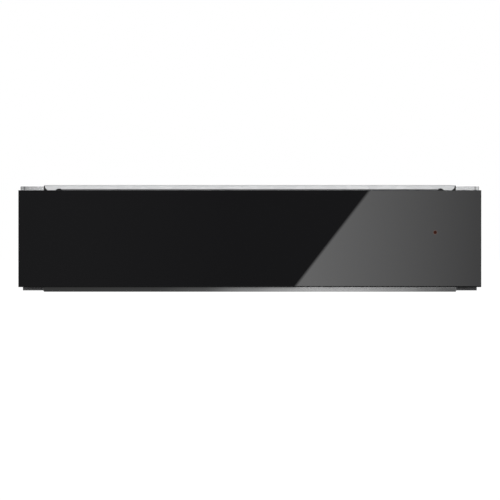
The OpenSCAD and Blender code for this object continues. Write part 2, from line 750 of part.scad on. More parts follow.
// Tray -----------------------------------------------------------------------------------

module tray_flange_screws_at() both() for (z = [tray_z + 20, tray_rim - 14])
    translate([half_tray_in - flange_w / 2, y_carrier_back + tray_sheet, z]) rotate([-90, 0, 0]) children();

module drawer_rivets_at() both()
    for (y = [y_front_wall + 20, (y_front_wall + y_tray_end) / 2, y_tray_end - 30])
        translate([half_tray_in, y, rail_z]) rotate([0, -90, 0]) children();

// Floor and sides of the tray, folded from one sheet, with hems and front flanges.
module drawer_tray() color("lightsteelblue") difference() {
    union() {
        block(-half_tray, half_tray, y_carrier_back, y_duct, tray_z, tray_floor);
        both() {
            block(half_tray_in, half_tray, y_carrier_back, y_duct, tray_z, tray_top);
            block(half_tray - tray_hem, half_tray, y_carrier_back, y_duct, tray_rim, tray_top);
            block(half_tray - tray_hem, half_tray - tray_hem + tray_sheet, y_carrier_back, y_duct,
                tray_rim - 3, tray_top);
            block(half_tray_in - flange_w, half_tray, y_carrier_back, y_carrier_back + tray_sheet,
                tray_z, tray_rim - panel_fold - 1);
        }
    }
    tray_flange_screws_at() screw_hole(3 * tray_sheet);
    drawer_rivets_at() translate([0, 0, -tray_sheet]) cylinder(2 * tray_sheet, rivet_r + 0.1, rivet_r + 0.1);
    striker_screws_at() screw_hole(3 * tray_sheet);
    translate([channel_x, control_y, tray_z])
        cylinder(3 * tray_sheet, wire_hole_r, wire_hole_r, center = true);
}

// An upright wall across the tray, narrower where it passes between the hems.
module cross_wall_2d() {
    rect(-wall_side, wall_side, tray_floor, wall_step);
    rect(-wall_half, wall_half, wall_step, tray_rim);
}

// The folds along the top and the sides of such a wall.
module cross_wall_folds(y0, y1) {
    block(-wall_half, wall_half, y0, y1, tray_rim - tray_sheet, tray_rim);
    both() block(wall_side - tray_sheet, wall_side, y0, y1, tray_floor, wall_step);
}

module tray_front_wall() color("lightsteelblue") difference() {
    union() {
        along_y(y_front_wall, y_front_wall + tray_sheet) cross_wall_2d();
        cross_wall_folds(y_front_wall - wall_fold, y_front_wall);
    }
    panel_screws_at() screw_hole(4 * tray_sheet);
}

// Holes of the fan's grille: rings round the axis, each with six more holes than the last.
module grille_2d(x, z) translate([x, z]) for (ring = [0 : grille_rings]) let (count = max(1, 6 * ring))
    for (i = [0 : count - 1]) rotate(i * 360 / count) translate([ring * 6, 0]) circle(grille_hole_r);

module tray_rear_wall() color("lightsteelblue") difference() {
    union() {
        along_y(y_tray_end, y_duct) difference() {
            cross_wall_2d();
            grille_2d(0, fan_z);
            both() translate([duct_w * 0.33, fan_z]) vent_slots(9, heater_slot_l);
        }
        cross_wall_folds(y_tray_end - wall_fold, y_tray_end);
    }
    duct_screws_at() screw_hole(4 * tray_sheet);
}

// Anti-slip mat with raised ridges.
module anti_slip_mat() color("#26272a") {
    difference() {
        translate([0, 0, tray_floor]) linear_extrude(mat_t)
            round_rect(-mat_edge, mat_edge, y_front_wall + tray_sheet + mat_gap, y_tray_end - mat_gap, 10);
        striker_screws_at() cylinder(3 * mat_t, screw_head_r + 0.4, screw_head_r + 0.4);
    }
    for (y = [y_front_wall + tray_sheet + mat_gap + 16 : 15 : y_tray_end - mat_gap - 26])
        block(14 - mat_edge, mat_edge - 14, y, y + 3, tray_floor + mat_t - 0.1, tray_floor + mat_t + ridge_h);
}

module drawer_rivets() color("gray") drawer_rivets_at() {
    cylinder(rivet_head_h, rivet_head_r, rivet_head_r - 1);
    translate([0, 0, -tray_sheet]) cylinder(tray_sheet, rivet_r, rivet_r);
    translate([0, 0, -tray_sheet - rail_sheet]) cylinder(rail_sheet, rivet_r + rivet_sink, rivet_r);
}

module drawer_screws() color("silver") {
    tray_flange_screws_at() screw(tray_sheet + carrier_sheet + 3);
    panel_screws_at() screw(2 * tray_sheet + 3);
    striker_screws_at() screw(tray_sheet + striker_t + 1.5);
    duct_screws_at() screw(sheet + tray_sheet + 3);
}

// Controls -------------------------------------------------------------------------------

module panel_screws_at() both()
    translate([half_tray * 0.88, y_front_wall - wall_fold / 2, panel_top]) children();

module control_panel() color("#c9ccd0") {
    difference() {
        block(-wall_half, wall_half, y_carrier_back, y_front_wall + tray_sheet, tray_rim, panel_top);
        translate([knob_x, control_y, tray_rim])
            cylinder(3 * tray_sheet, neck_r + fit_gap, neck_r + fit_gap, center = true);
        translate([switch_x, control_y, tray_rim])
            cube([rocker_l + 4 + fit_gap, rocker_w + 4 + fit_gap, 3 * tray_sheet], center = true);
        panel_screws_at() screw_hole(3 * tray_sheet);
    }
    block(-wall_half, wall_half, y_carrier_back, y_carrier_back + tray_sheet,
        tray_rim - panel_fold, panel_top);
}

module thermostat_body() color("dimgray") difference() {
    translate([knob_x, control_y, tray_rim - thermostat_h]) {
        cylinder(thermostat_h, thermostat_r, thermostat_r);
        translate([0, 0, thermostat_h - 0.01]) cylinder(tray_sheet + 1.51, neck_r, neck_r);
        for (s = [-1, 1]) translate([s * 7 - 0.4, -3, -tab_l]) cube([0.8, 6, tab_l + 1]);
    }
    translate([knob_x, control_y, tray_rim - thermostat_h / 2])
        cylinder(thermostat_h, spindle_r + run_gap, spindle_r + run_gap);
}

module thermostat_spindle() color("silver")
    translate([knob_x, control_y, tray_rim - thermostat_h / 2 + rest_gap])
        cylinder(knob_z0 + knob_h - 4 - tray_rim + thermostat_h / 2 - rest_gap, spindle_r, spindle_r);

// Knob with a ribbed side, a raised pointer and a blind hole for the spindle.
module thermostat_knob() color("#1b1b1d") translate([knob_x, control_y, knob_z0]) difference() {
    union() {
        cylinder(2, knob_r, knob_r);
        cylinder(knob_h - 1, knob_r - 1.4, knob_r - 1.8);
        translate([0, 0, knob_h - 1]) cylinder(1, knob_r - 1.8, knob_r - 2.8);
        for (i = [0 : knob_ribs - 1]) rotate(i * 360 / knob_ribs)
            translate([knob_r - 2.2, -0.4, 1]) cube([1.2, 0.8, knob_h - 2.5]);
    }
    translate([0, 0, -1]) cylinder(knob_h - 3 + rest_gap, spindle_r + 0.01, spindle_r + 0.01);
    translate([-0.5, -knob_r + 4, knob_h - 0.6]) cube([1, knob_r - 6, 1]);
}

// Housing of the switch: a rim on the panel, a body below it and seats for the rocker's pins.
module switch_frame() color("#1b1b1d") translate([switch_x, control_y, 0]) difference() {
    union() {
        translate([0, 0, panel_top]) linear_extrude(1.5) round_rect(
            -rocker_l / 2 - switch_frame_w - 2, rocker_l / 2 + switch_frame_w + 2,
            -rocker_w / 2 - switch_frame_w - 2, rocker_w / 2 + switch_frame_w + 2, 2);
        block(-rocker_l / 2 - 2, rocker_l / 2 + 2, -rocker_w / 2 - 2, rocker_w / 2 + 2,
            panel_top - switch_depth, panel_top + 0.1);
        for (s = [-1, 0, 1]) translate([s * switch_tab - 0.4, -3, panel_top - switch_depth - tab_l])
            cube([0.8, 6, tab_l + 1]);
    }
    block(-rocker_l / 2 - 0.4, rocker_l / 2 + 0.4, -rocker_w / 2 - 0.4, rocker_w / 2 + 0.4,
        rocker_z - 7, panel_top + 3);
    rod_y(0, -rocker_w / 2 - 1.2, rocker_w / 2 + 1.2, rocker_z, rocker_pin_r + run_gap);
}

// The rocker, modelled in its off position, with its two halves sloping from the pivot.
module switch_rocker() color("#7a1c10") translate([switch_x, control_y, rocker_z]) {
    rotate([0, -rocker_tilt, 0]) along_y(-rocker_w / 2, rocker_w / 2) polygon([
        [0.8 - rocker_l / 2, 3.6], [0, 2.2], [rocker_l / 2 - 0.8, 3.6], [rocker_l / 2 - 0.8, 0.6],
        [2.5, -3.5], [-2.5, -3.5], [0.8 - rocker_l / 2, 0.6]
    ]);
    rod_y(0, -rocker_w / 2 - 1, rocker_w / 2 + 1, 0, rocker_pin_r);
}

// Fan and heater -------------------------------------------------------------------------

module duct_screws_at() both() for (s = [-1, 1])
    translate([duct_w / 2 + 5, y_duct + sheet, fan_z + s * 28]) rotate([-90, 0, 0]) children();

// Open box on the back of the tray that the fan and the heaters sit in.
module fan_duct() color("silver") difference() {
    union() {
        block(-duct_w / 2, duct_w / 2, y_duct, y_duct_end + sheet, duct_z0, duct_z1);
        both() block(duct_w / 2, duct_w / 2 + 10, y_duct, y_duct + sheet, duct_z0, duct_z1);
    }
    block(sheet - duct_w / 2, duct_w / 2 - sheet, y_duct - 1, y_duct_end, duct_z0 + sheet, duct_z1 - sheet);
    rod_y(0, y_duct_end - 1, y_duct_end + 2, fan_z, motor_bush_r + 2);
    rod_legs_at() rod_y(0, y_duct_end - 1, y_duct_end + 2, 0, rod_r + 1.5 + fit_gap);
    duct_screws_at() screw_hole(3 * sheet);
}

// Stack of the motor's laminations: a bore for the rotor above a window and the coil's leg.
module fan_motor_core() color("slategray") difference() {
    block(-motor_half, motor_half, core_y, core_y + core_t, leg_z, fan_z + rotor_r + 4);
    rod_y(0, core_y - 1, core_y + core_t + 1, fan_z, rotor_r + 0.5);
    block(-coil_half - 1, coil_half + 1, core_y - 1, core_y + core_t + 1, leg_z + leg_h, coil_window_z);
}

// Winding on the lower leg of the core.
module fan_motor_coil() color("#b5622a") difference() {
    block(-coil_half, coil_half, core_y - coil_t, core_y + core_t + coil_t,
        leg_z - coil_t, coil_window_z - 1);
    block(-coil_half - 1, coil_half + 1, core_y - fit_gap, core_y + core_t + fit_gap,
        leg_z - fit_gap, leg_z + leg_h + fit_gap);
}

// One bar of the brackets, from x0 to the motor's side.
module bracket_at(x0, y0, y1)
    block(x0, motor_half, y0, y1, fan_z - bracket_half_h, fan_z + bracket_half_h);

// Bearing brackets in front of and behind the core, each with a bush for the shaft.
module fan_motor_brackets() color("silver") difference() {
    union() {
        bracket_at(-motor_half, motor_y, motor_y + bracket_t);
        both() bracket_at(motor_half - 6, motor_y, core_y);
        rod_y(0, motor_y - 4, motor_y + bracket_t, fan_z, motor_bush_r);
        bracket_at(-motor_half, core_y + core_t, core_y + core_t + bracket_t);
        rod_y(0, core_y + core_t, core_y + core_t + bracket_t + 3, fan_z, motor_bush_r);
    }
    rod_y(0, y_duct, y_rear, fan_z, shaft_r + run_gap);
}

// Shaft and rotor of the fan's motor.
shaft_y0 = wheel_y0 + 6;
shaft_y1 = core_y + core_t + bracket_t + 4;
module fan_rotor() color("gray") {
    rod_y(0, shaft_y0, shaft_y1, fan_z, shaft_r);
    rod_y(0, core_y + 0.5, core_y + core_t - 0.5, fan_z, rotor_r);
}

// One forward-curved blade, as an arc between the wheel's two radii.
module blade_2d() intersection() {
    translate([wheel_r - blade_w / 2, blade_w / 2]) difference() {
        circle(blade_r + blade_t / 2);
        circle(blade_r - blade_t / 2);
    }
    difference() {
        circle(wheel_r - 0.5);
        circle(wheel_r - blade_w);
    }
    rect(0, wheel_r, -blade_w, blade_w / 2);
}

module fan_impeller() color("#d9d4c4") difference() {
    union() {
        rod_y(0, wheel_y1 - 1, wheel_y1, fan_z, wheel_r);
        rod_y(0, shaft_y0, wheel_y1, fan_z, hub_r);
        translate([0, wheel_y1, fan_z]) rotate([90, 0, 0]) {
            linear_extrude(wheel_y1 - wheel_y0)
                for (i = [0 : wheel_blades - 1]) rotate(i * 360 / wheel_blades) blade_2d();
            translate([0, 0, wheel_y1 - wheel_y0 - 1]) linear_extrude(1) difference() {
                circle(wheel_r);
                circle(wheel_r - 3);
            }
        }
    }
    rod_y(0, y_duct, y_rear, fan_z, shaft_r + 0.01);
}

// Places where the heating rods pass through the duct's back.
module rod_legs_at() both() for (s = [-1, 1])
    translate([rod_x0 - rod_elbow, 0, fan_z + s * rod_bend]) children();

// A bend of a round rod, in the plane of the first two axes.
module bend(r, turn, tube) rotate_extrude(angle = turn) translate([r, 0]) circle(tube);

// One hairpin of heating rod, its two legs turning back through the duct.
module hairpin() {
    for (s = [-1, 1]) {
        rod_x(rod_x0, rod_x1, rod_y, fan_z + s * rod_bend, rod_r);
        translate([rod_x0, rod_y + rod_elbow, fan_z + s * rod_bend]) rotate(180) bend(rod_elbow, 90, rod_r);
        rod_y(rod_x0 - rod_elbow, rod_y + rod_elbow, y_duct_end + 8, fan_z + s * rod_bend, rod_r);
        rod_y(rod_x0 - rod_elbow, y_duct_end + 8, y_duct_end + 13, fan_z + s * rod_bend, 1.2);
        rod_y(rod_x0 - rod_elbow, y_duct_end - 2, y_duct_end + sheet, fan_z + s * rod_bend, rod_r + 1.5);
        rod_y(rod_x0 - rod_elbow, y_duct_end + sheet, y_duct_end + sheet + 2,
            fan_z + s * rod_bend, rod_r + 3);
    }
    translate([rod_x1, rod_y, fan_z]) rotate([90, 0, 0]) rotate(-90) bend(rod_bend, 180, rod_r);
}
module heating_elements() color("darkslategray") both() hairpin();

// Thermal cut-out on top of the duct.
module thermal_cutout() color("ivory") translate([duct_w * 0.25, y_duct + duct_d / 2, duct_z1 - sheet]) {
    mirror([0, 0, 1]) cylinder(4, 7, 7);
    mirror([0, 0, 1]) translate([0, 0, 4]) cylinder(3, 5, 5);
}

// Channel under the tray for the wires between the controls and the duct.
module wiring_channel() color("silver")
    along_y(y_carrier_back + 8, y_duct - 2) translate([channel_x, tray_z]) difference() {
        rect(-channel_w / 2 - 5, channel_w / 2 + 5, -channel_h, 0);
        rect(tray_sheet - channel_w / 2, channel_w / 2 - tray_sheet, tray_sheet - channel_h, 1);
        both() rect(channel_w / 2, channel_w, -channel_h - 1, -tray_sheet);
    }

// Push latch -----------------------------------------------------------------------------

module latch_screws_at() both() for (y = [latch_y0 + 8, latch_y0 + latch_l - 8])
    translate([latch_w / 2 + 5, y, sheet + 2]) children();

module push_latch_housing() color("#d8d8d4") difference() {
    union() {
        block(-latch_w / 2, latch_w / 2, latch_y0, latch_y0 + latch_l, sheet, sheet + latch_h);
        block(-latch_w / 2 - 10, latch_w / 2 + 10, latch_y0, latch_y0 + latch_l, sheet, sheet + 2);
    }
    rod_y(0, latch_y0 - 1, latch_y0 + latch_l - 3, latch_z, plunger_r + run_gap);
    latch_screws_at() screw_hole(4);
}

module latch_screws() color("silver") latch_screws_at() screw(sheet + 2);

module latch_plunger() color("#3a3b3d") {
    rod_y(0, plunger_y0 + 1, plunger_y0 + plunger_l, latch_z, plunger_r);
    translate([0, plunger_y0, latch_z]) rotate([-90, 0, 0]) cylinder(1, plunger_r - 1, plunger_r);
}

// The coil spring behind the plunger, one tube swept along a helix by a formula.
spring_r = plunger_r - spring_wire - 0.3;
spring_y0 = plunger_y0 + plunger_l + 0.2;
spring_y1 = latch_y0 + latch_l - 3.2;
module latch_spring() color("gray") helix(spring_r, spring_wire, spring_y0 + spring_wire,
    spring_y1 - spring_wire, spring_turns);

module helix(r, wire, y0, y1, turns) {
    rings = 8 * turns;
    sides = 6;
    points = [for (i = [0 : rings], k = [0 : sides - 1]) let (
        a = 360 * turns * i / rings,
        b = 360 * k / sides,
        reach = r + wire * cos(b)
    ) [reach * cos(a), y0 + (y1 - y0) * i / rings + wire * sin(b), latch_z + reach * sin(a)]];
    faces = concat(
        [[for (k = [0 : sides - 1]) k]],
        [for (i = [0 : rings - 1], k = [0 : sides - 1]) let (n = (k + 1) % sides)
            [i * sides + k, (i + 1) * sides + k, (i + 1) * sides + n, i * sides + n]],
        [[for (k = [sides - 1 : -1 : 0]) rings * sides + k]]
    );
    polyhedron(points, faces);
}

module striker_screws_at() for (s = [-1, 1])
    translate([s * 6, striker_y1 - 14, tray_floor]) children();

// Angle under the tray whose leg meets the plunger.
module latch_striker() color("silver") difference() {
    union() {
        block(-striker_w / 2, striker_w / 2, striker_y1 - 22, striker_y1, tray_z - striker_t, tray_z);
        block(-striker_w / 2, striker_w / 2, striker_y1 - striker_t, striker_y1, latch_z - 6, tray_z);
    }
    striker_screws_at() screw_hole(6);
}

// Mains inlet ----------------------------------------------------------------------------

module mains_inlet_bush() color("black") difference() {
    union() {
        rod_y(inlet_x, y_panel - bush_l + sheet + 1.5, y_panel + sheet + 1.5, inlet_z, inlet_r + bush_wall);
        rod_y(inlet_x, y_panel + sheet, y_panel + sheet + 1.5, inlet_z, inlet_r + bush_wall + bush_flange);
        rod_y(inlet_x, y_panel - 2, y_panel, inlet_z, inlet_r + bush_wall + bush_flange);
    }
    rod_y(inlet_x, y_panel - bush_l, y_rear + 1, inlet_z, inlet_r);
}

box_z = inlet_z + terminal_rise;
module terminal_screws_at() for (s = [-1, 1])
    translate([inlet_x + s * 14, y_panel + sheet, box_z]) rotate([-90, 0, 0]) children();

module terminal_box() color("ivory") difference() {
    block(inlet_x - box_w / 2, inlet_x + box_w / 2, y_panel - box_d, y_panel,
        box_z - box_h / 2, box_z + box_h / 2);
    block(inlet_x - box_w / 2 + box_wall, inlet_x + box_w / 2 - box_wall,
        y_panel - box_d + box_wall, y_panel - box_wall - 1,
        box_z - box_h / 2 + box_wall, box_z + box_h / 2 - box_wall);
    terminal_screws_at() screw_hole(8);
}

base_pan();
top_cover();
left_side_panel();
right_side_panel();
rear_panel();
left_front_stile();
right_front_stile();
front_buffers();
casing_screws();
left_outer_runner();
right_outer_runner();
runner_rivets();
push_latch_housing();
latch_screws();
latch_spring();
latch_plunger();
mains_inlet_bush();
terminal_box();
left_outer_ball_cage();
left_outer_balls();
right_outer_ball_cage();
right_outer_balls();
left_middle_runner();
right_middle_runner();
left_inner_ball_cage();
left_inner_balls();
right_inner_ball_cage();
right_inner_balls();
front_glass();
bonding_tape();
front_carrier();
front_inner_panel();
front_seal();
drawer_tray();
tray_front_wall();
tray_rear_wall();
anti_slip_mat();
left_inner_runner();
right_inner_runner();
drawer_rivets();
drawer_screws();
control_panel();
thermostat_body();
thermostat_spindle();
thermostat_knob();
switch_frame();
switch_rocker();
indicator_lamp();
indicator_lens();
indicator_cable();
fan_duct();
fan_motor_core();
fan_motor_coil();
fan_motor_brackets();
fan_rotor();
fan_impeller();
heating_elements();
thermal_cutout();
wiring_channel();
latch_striker();
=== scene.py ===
"""Looks of a built-in warming drawer with a handleless black glass front."""

import json
import math

import bmesh
import bpy
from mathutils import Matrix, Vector


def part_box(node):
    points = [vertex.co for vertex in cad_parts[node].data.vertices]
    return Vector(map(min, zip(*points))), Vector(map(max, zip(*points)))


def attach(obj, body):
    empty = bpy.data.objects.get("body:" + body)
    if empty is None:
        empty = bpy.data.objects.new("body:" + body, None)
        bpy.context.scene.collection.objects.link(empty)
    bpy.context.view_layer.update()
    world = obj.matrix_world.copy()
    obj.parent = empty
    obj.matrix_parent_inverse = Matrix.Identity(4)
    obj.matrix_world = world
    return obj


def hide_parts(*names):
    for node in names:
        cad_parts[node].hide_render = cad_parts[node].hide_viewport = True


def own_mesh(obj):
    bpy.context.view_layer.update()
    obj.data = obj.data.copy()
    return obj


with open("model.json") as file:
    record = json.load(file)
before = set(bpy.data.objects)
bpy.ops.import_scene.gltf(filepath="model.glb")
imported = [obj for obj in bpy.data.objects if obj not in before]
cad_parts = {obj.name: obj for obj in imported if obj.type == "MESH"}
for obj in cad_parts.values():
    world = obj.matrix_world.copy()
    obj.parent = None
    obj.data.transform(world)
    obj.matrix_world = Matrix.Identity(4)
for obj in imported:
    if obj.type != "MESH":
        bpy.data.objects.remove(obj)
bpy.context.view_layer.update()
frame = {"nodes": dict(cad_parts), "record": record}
nodes = frame["nodes"]

MM = 0.001
glass_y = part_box("front_glass")[0].y
lens_low, lens_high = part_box("indicator_lens")
lens = (lens_low + lens_high) / 2
knob_low, knob_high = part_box("thermostat_knob")
knob = (knob_low + knob_high) / 2
switch_low, switch_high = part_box("switch_frame")
switch = (switch_low + switch_high) / 2
panel_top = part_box("control_panel")[1].z
stile_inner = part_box("right_front_stile")[0].x

# Where the looks of the sheet metal change, from one place to the other, in mm; most bound
# painted shade. An x counts from the middle on both sides alike, but not LEFT_TO_RIGHT_X.
CASING_SHADE_X = (190, 268)
LIP_FACE_Y = (-249.5, -249)
LIP_BEND_Z = (136.2, 136.8)
FLANGE_END_X = (265.5, 266.5)
FLANGE_BACK_Y = (-248.8, -248)
STILE_SHADE_X = (265.5, 289)
STILE_HEM_X = (294.1, 294.9)
STILE_GROOVE_X, STILE_GROOVE_HALF = 290.5, 0.65
LEFT_TO_RIGHT_X = (-100, 100)

# The indicator's red glow is painted on the glass round its lens, and fades between these
# distances from its middle, in mm. Its front face counts as face while its normal's y is
# under the first number, and as ground edge over the second.
PAINTED_LENS_GLOW = (2.0, 3.4)
FACE_TO_EDGE = (-0.985, -0.9)


# Materials ---------------------------------------------------------------------------------


class Graph:
    """Short names for adding nodes to a tree."""

    def __init__(self, tree):
        self.tree = tree

    def add(self, kind, **inputs):
        node = self.tree.nodes.new("ShaderNode" + kind)
        for key, value in inputs.items():
            self.put(value, node.inputs[key.replace("_", " ")])
        return node

    def put(self, value, socket):
        """Links another socket, or sets a plain value."""
        if isinstance(value, bpy.types.NodeSocket):
            self.tree.links.new(value, socket)
        else:
            socket.default_value = value

    def math(self, operation, *values):
        node = self.tree.nodes.new("ShaderNodeMath")
        node.operation = operation
        for value, socket in zip(values, node.inputs):
            self.put(value, socket)
        return node.outputs[0]

    def remap(self, value, low, high, start=0.0, end=1.0):
        """From low to high while the value goes from start to end, and level beyond."""
        return self.add("MapRange", Value=value, From_Min=start, From_Max=end,
                        To_Min=low, To_Max=high).outputs["Result"]

    def curve(self, value, points):
        """A smooth function of one value through some points (place, height)."""
        start, end = points[0][0], points[-1][0]
        top = max(height for _, height in points)
        ramp = self.add("ValToRGB", Fac=self.remap(value, 0.0, 1.0, start, end))
        ramp.color_ramp.interpolation = "EASE"
        stops = ramp.color_ramp.elements
        while len(stops) < len(points):
            stops.new(0.5)
        for stop, (place, height) in zip(stops, points):
            stop.position = (place - start) / (end - start)
            stop.color = (height / top,) * 3 + (1,)
        return self.math("MULTIPLY", ramp.outputs["Color"], top)


class Surface(Graph):
    """A Principled material with procedural detail, in metres of the frame."""

    # Colour sockets of a Mix node, which has others of the same names.
    MIX_A, MIX_B, MIX_RESULT = 6, 7, 2

    def __init__(self, name, color, metallic=0.0, roughness=0.5, **sockets):
        self.material = bpy.data.materials.new(name)
        self.material.use_nodes = True
        super().__init__(self.material.node_tree)
        self.bsdf = self.tree.nodes["Principled BSDF"]
        self.color = (*color, 1)
        self.set("Base Color", self.color)
        self.set("Metallic", metallic)
        self.set("Roughness", roughness)
        for key, value in sockets.items():
            self.set(key.replace("_", " "), value)
        self.coordinates = self.add("TexCoord")
        self.place = self.coordinates.outputs["Object"]

    def set(self, socket, value):
        self.put(value, self.bsdf.inputs[socket])

    def axis(self, which):
        return self.add("SeparateXYZ", Vector=self.place).outputs[which]

    def side(self):
        """Distance from the middle, left or right."""
        return self.math("ABSOLUTE", self.axis("X"))

    def between(self, coordinate, places, low=0.0, high=1.0):
        """From low to high while a coordinate goes from one place to another, in mm."""
        return self.remap(coordinate, low, high, places[0] * MM, places[1] * MM)

    def scaled(self, x=1.0, y=1.0, z=1.0):
        return self.add("Mapping", Vector=self.place, Scale=(x, y, z)).outputs["Vector"]

    def noise(self, scale, detail=3.0, place=None):
        return self.add("TexNoise", Vector=place or self.place, Scale=scale, Detail=detail,
                        Roughness=0.55).outputs["Fac"]

    def cells(self, scale, place=None):
        return self.add("TexVoronoi", Vector=place or self.place, Scale=scale).outputs

    def bands(self, direction, scale, distortion):
        node = self.add("TexWave", Vector=self.place, Scale=scale, Distortion=distortion)
        node.bands_direction = direction
        return node.outputs["Fac"]

    def tint(self, fac, other):
        """Lays another colour over the present one where fac is high."""
        node = self.tree.nodes.new("ShaderNodeMix")
        node.data_type = "RGBA"
        self.put(fac, node.inputs["Factor"])
        self.put(self.color, node.inputs[self.MIX_A])
        self.put((*other, 1), node.inputs[self.MIX_B])
        self.color = node.outputs[self.MIX_RESULT]
        self.set("Base Color", self.color)

    def stain(self, other, noise, amount, start=0.0, end=1.0):
        """Lays another colour over, up to an amount, where the noise goes from start to end."""
        self.tint(self.remap(noise, 0.0, amount, start, end), other)

    def rough(self, fac, low, high):
        self.set("Roughness", self.remap(fac, low, high))

    def bump(self, height, strength, distance):
        node = self.add("Bump", Height=height, Strength=strength, Distance=distance)
        self.set("Normal", node.outputs["Normal"])


def shade(color, factor):
    return tuple(min(1.0, part * factor) for part in color)


def galvanised():
    """Hot-dip galvanised sheet: grains of slightly different grey, with painted shade towards the
    sides and on the lip's bend.
    """
    s = Surface("galvanised_steel", (0.604, 0.61, 0.613), metallic=0.3, roughness=0.4)
    grain = s.add("SeparateColor", Color=s.cells(110.0)["Color"]).outputs["Red"]
    s.stain((0.51, 0.517, 0.522), grain, 0.6)
    s.stain((0.655, 0.66, 0.66), s.noise(11.0), 0.4, 0.4, 0.7)
    # Painted shade: darker towards the casing's sides.
    s.tint(s.between(s.side(), CASING_SHADE_X, 0.0, 0.22), (0.35, 0.36, 0.37))
    # Painted shade: darker on the lip's face where it bends over at the top.
    lip_bend_shade = s.math("MULTIPLY", s.between(s.axis("Y"), LIP_FACE_Y, 1.0, 0.0),
                      s.between(s.axis("Z"), LIP_BEND_Z, 0.0, 0.5))
    s.tint(lip_bend_shade, (0.28, 0.285, 0.29))
    s.rough(grain, 0.38, 0.45)
    s.bump(s.noise(2400.0, 2.0), 0.1, 0.05 * MM)
    return s.material


def base_steel():
    """Rolled sheet: a polished front flange, with dull wings beside its raised middle that are
    darkened as painted shade.
    """
    s = Surface("base_steel", (0.50, 0.502, 0.505), metallic=1.0, roughness=0.1)
    wing = s.between(s.side(), FLANGE_END_X)
    s.set("Metallic", s.remap(wing, 1.0, 0.0))
    s.stain((0.42, 0.42, 0.425), s.noise(60.0, 5.0, s.scaled(0.4, 1.0, 6.0)), 0.3)
    # Painted shade: the wings are darker for the shade under the glass's overhang.
    s.tint(wing, (0.155, 0.156, 0.16))
    grain = s.noise(900.0, 3.0, s.scaled(0.05, 1.0, 1.0))
    behind = s.between(s.axis("Y"), FLANGE_BACK_Y)
    middle = s.remap(behind, s.remap(grain, 0.012, 0.022), 0.34)
    s.rough(wing, middle, 0.6)
    s.bump(grain, 0.008, 0.02 * MM)
    return s.material


def stile_steel():
    """Satin sheet with painted shade: darker outwards, mostly on the left, dark in the groove
    before its hem and over the hem.
    """
    s = Surface("stile_steel", (0.56, 0.565, 0.57), metallic=0.45, roughness=0.25)
    side = s.side()
    # Painted shade: darker towards the outer side, more on the left stile.
    painted_outer_shade = s.math("MULTIPLY", s.between(side, STILE_SHADE_X),
                   s.between(s.axis("X"), LEFT_TO_RIGHT_X, 1.0, 0.2))
    s.tint(painted_outer_shade, (0.34, 0.343, 0.348))
    # Painted shadow: a dark line in the groove before the hem.
    groove_shadow = s.math("COMPARE", side, STILE_GROOVE_X * MM, STILE_GROOVE_HALF * MM)
    s.tint(groove_shadow, (0.12, 0.12, 0.122))
    # Painted shade: darker over the hem's fold.
    s.tint(s.between(side, STILE_HEM_X, 0.0, 0.6), (0.14, 0.142, 0.145))
    s.stain((0.62, 0.625, 0.63), s.noise(160.0, 4.0, s.scaled(1.0, 1.0, 0.1)), 0.2)
    s.rough(s.noise(500.0), 0.2, 0.32)
    s.bump(s.noise(1800.0, 2.0, s.scaled(1.0, 1.0, 0.1)), 0.08, 0.03 * MM)
    return s.material


def brushed(name, color, roughness, metallic):
    """Sheet metal with fine scratches along X."""
    s = Surface(name, color, metallic=metallic, roughness=roughness)
    lines = s.noise(2600.0, 3.0, s.scaled(0.02, 1.0, 1.0))
    s.stain(shade(color, 0.86), s.noise(24.0, 4.0), 0.4, 0.3, 0.8)
    s.rough(lines, roughness - 0.07, roughness + 0.12)
    s.bump(lines, 0.05, 0.03 * MM)
    return s.material


def plated(name, color, roughness=0.3, stains=0.35, metallic=0.95):
    """Small plated parts, with faint stains and tool marks."""
    s = Surface(name, color, metallic=metallic, roughness=roughness)
    s.stain(shade(color, 0.72), s.noise(110.0, 4.0), stains, 0.35, 0.8)
    s.rough(s.noise(700.0, 4.0), roughness - 0.08, roughness + 0.14)
    s.bump(s.noise(1500.0), 0.06, 0.03 * MM)
    return s.material


def powder(name, color, roughness=0.55):
    """Powder coat, with its orange peel."""
    s = Surface(name, color, roughness=roughness)
    s.stain(shade(color, 1.3), s.noise(70.0), 0.5, 0.3, 0.8)
    s.bump(s.cells(1500.0)["Distance"], 0.25, 0.08 * MM)
    s.rough(s.noise(400.0), roughness - 0.08, roughness + 0.1)
    return s.material


def moulded(name, color, roughness=0.45, texture=900.0, strength=0.12):
    """Moulded plastic or rubber with a fine texture."""
    s = Surface(name, color, roughness=roughness)
    s.stain(shade(color, 0.85), s.noise(45.0), 0.4, 0.35, 0.75)
    s.rough(s.noise(texture), roughness - 0.06, roughness + 0.1)
    s.bump(s.noise(texture * 2.0, 2.0), strength, 0.04 * MM)
    return s.material


def black_glass():
    """Back-painted float glass: a polished face, and ground edges that are greener, dull and
    darkened as painted shade.
    """
    s = Surface("black_glass", (0.0068, 0.0068, 0.0073), roughness=0.004, IOR=1.52)
    facing = s.add("SeparateXYZ", Vector=s.coordinates.outputs["Normal"]).outputs["Y"]
    edge = s.remap(facing, 0.0, 1.0, *FACE_TO_EDGE)
    # Partly the ground edge's greener tint, partly painted shade that keeps the bevels dark.
    s.tint(edge, (0.002, 0.0028, 0.0026))
    s.rough(edge, 0.004, 0.25)
    away = s.tree.nodes.new("ShaderNodeVectorMath")
    away.operation = "DISTANCE"
    s.put(s.place, away.inputs[0])
    s.put((lens.x, glass_y, lens.z), away.inputs[1])
    # Painted light: the indicator's red glow on the glass round its lens.
    s.tint(s.between(away.outputs["Value"], PAINTED_LENS_GLOW, 1.0, 0.0), (0.045, 0.018, 0.012))
    s.bump(s.noise(6.0, 1.0), 0.004, 0.05 * MM)
    return s.material


